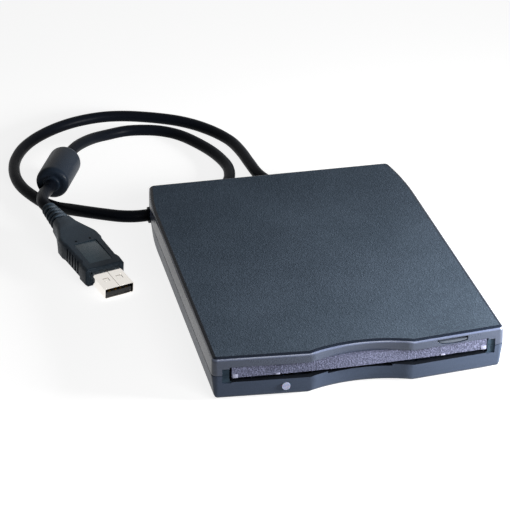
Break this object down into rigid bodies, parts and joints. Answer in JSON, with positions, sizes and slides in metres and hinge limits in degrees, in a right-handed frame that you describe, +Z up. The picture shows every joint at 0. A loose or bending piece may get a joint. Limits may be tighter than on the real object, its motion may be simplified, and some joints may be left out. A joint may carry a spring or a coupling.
{
  "type": "external floppy disk drive",
  "caption": "Slim external diskette drive: two-part case, spring flap over a wide slot, eject button, inner eject and head mechanism, fixed cable with ferrite core and flat plug",
  "frame": {"origin": "under the middle of the case, on the surface that the rubber feet stand on", "axes": "+X right seen from the front, +Y from the front to the rear along the length of the case, +Z up"},
  "size_m": [0.1511, 0.247, 0.0172],
  "materials": {
    "case_top": "fine matt grey-blue moulding",
    "case_bottom": "fine matt dark grey moulding",
    "flap": "matt grey-violet moulding",
    "button": "satin dark grey moulding",
    "rubber": "matt black rubber",
    "steel": "bright steel",
    "sheet": "zinc-plated sheet",
    "bronze": "sintered bronze",
    "copper": "enamelled copper coils",
    "acetal": "natural acetal",
    "black_plastic": "black moulding",
    "carriage": "die-cast aluminium",
    "board": "green solder mask",
    "chip": "black epoxy",
    "ribbon": "grey ribbon",
    "header": "cream moulding",
    "cable": "satin black jacket",
    "plug": "matt blue-black moulding",
    "plug_metal": "bright plated shell",
    "gold": "gold-plated contacts",
    "lens": "milky clear lens"
  },
  "bodies": {
    "drive": {"upper_shell": "case_top", "lower_shell": "case_bottom", "rubber_feet": "rubber", "case_screws": "steel", "drive_chassis": "sheet", "chassis_rails": "sheet", "chassis_screws": "steel", "spindle_board": "board", "spindle_stator": "copper", "spindle_bearing": "bronze", "guide_rod": "steel", "stepper_motor": "steel", "interface_board": "board", "interface_chips": "chip", "controller_board": "board", "controller_chips": "chip", "ribbon_cable": "ribbon", "cable_header": "header", "cable_tail": "cable", "cable_clamp": "case_bottom", "cable_grommet": "cable", "usb_cable": "cable", "ferrite_core": "cable", "usb_cable_end": "cable", "plug_relief": "plug", "plug_cover": "plug", "plug_shell": "plug_metal", "plug_tongue": "black_plastic", "plug_contacts": "gold", "led_lens": "lens", "led_board": "board"},
    "flap": {"slot_flap": "flap", "flap_spring": "steel"},
    "slider": {"eject_slider": "sheet", "eject_button": "button", "eject_spring": "steel"},
    "holder": {"disk_holder": "sheet", "holder_rails": "sheet"},
    "lever": {"trigger_lever": "acetal"},
    "rotor": {"spindle_rotor": "steel", "spindle_hub": "steel"},
    "carriage": {"head_carriage": "carriage", "lower_head": "black_plastic"},
    "head_arm": {"upper_head_arm": "black_plastic", "upper_head": "black_plastic"},
    "screw": {"lead_screw": "steel"}
  },
  "joints": [
    {"name": "flap_swing", "type": "hinge", "parent": "drive", "child": "flap", "pos_m": [0, -0.0658, 0.0143], "axis": [1, 0, 0], "range_deg": [0, 95], "stiffness_Nm_per_rad": 0.0006, "springref_deg": -20.05, "deforming": ["flap_spring"]},
    {"name": "eject_slide", "type": "slide", "parent": "drive", "child": "slider", "axis": [0, 1, 0], "range_m": [-0.0035, 0], "deforming": ["eject_spring"]},
    {"name": "holder_lift", "type": "slide", "parent": "drive", "child": "holder", "axis": [0, 0, 1], "range_m": [-0.0022, 0]},
    {"name": "trigger_turn", "type": "hinge", "parent": "drive", "child": "lever", "pos_m": [-0.034, 0.033, 0.01], "axis": [0, 0, 1], "range_deg": [0, 27]},
    {"name": "head_step", "type": "slide", "parent": "drive", "child": "carriage", "axis": [0, 1, 0], "range_m": [-0.015, 0]},
    {"name": "arm_tilt", "type": "hinge", "parent": "carriage", "child": "head_arm", "pos_m": [0, 0.05, 0.0106], "axis": [1, 0, 0], "range_deg": [0, 7]},
    {"name": "screw_turn", "type": "hinge", "parent": "drive", "child": "screw", "pos_m": [0.01, 0.03, 0.0074], "axis": [0, 1, 0], "range_deg": [-1800, 0]},
    {"name": "spindle_turn", "type": "hinge", "parent": "drive", "child": "rotor", "pos_m": [0, -0.022, 0.005], "axis": [0, 0, 1], "continuous": true}
  ],
  "couplings": [
    {"joint": "holder_lift", "follows": "eject_slide", "ratio": 0.62857},
    {"joint": "trigger_turn", "follows": "eject_slide", "rad_per_m": -134.64},
    {"joint": "arm_tilt", "follows": "eject_slide", "rad_per_m": -34.907},
    {"joint": "screw_turn", "follows": "head_step", "rad_per_m": 2094.4}
  ]
}
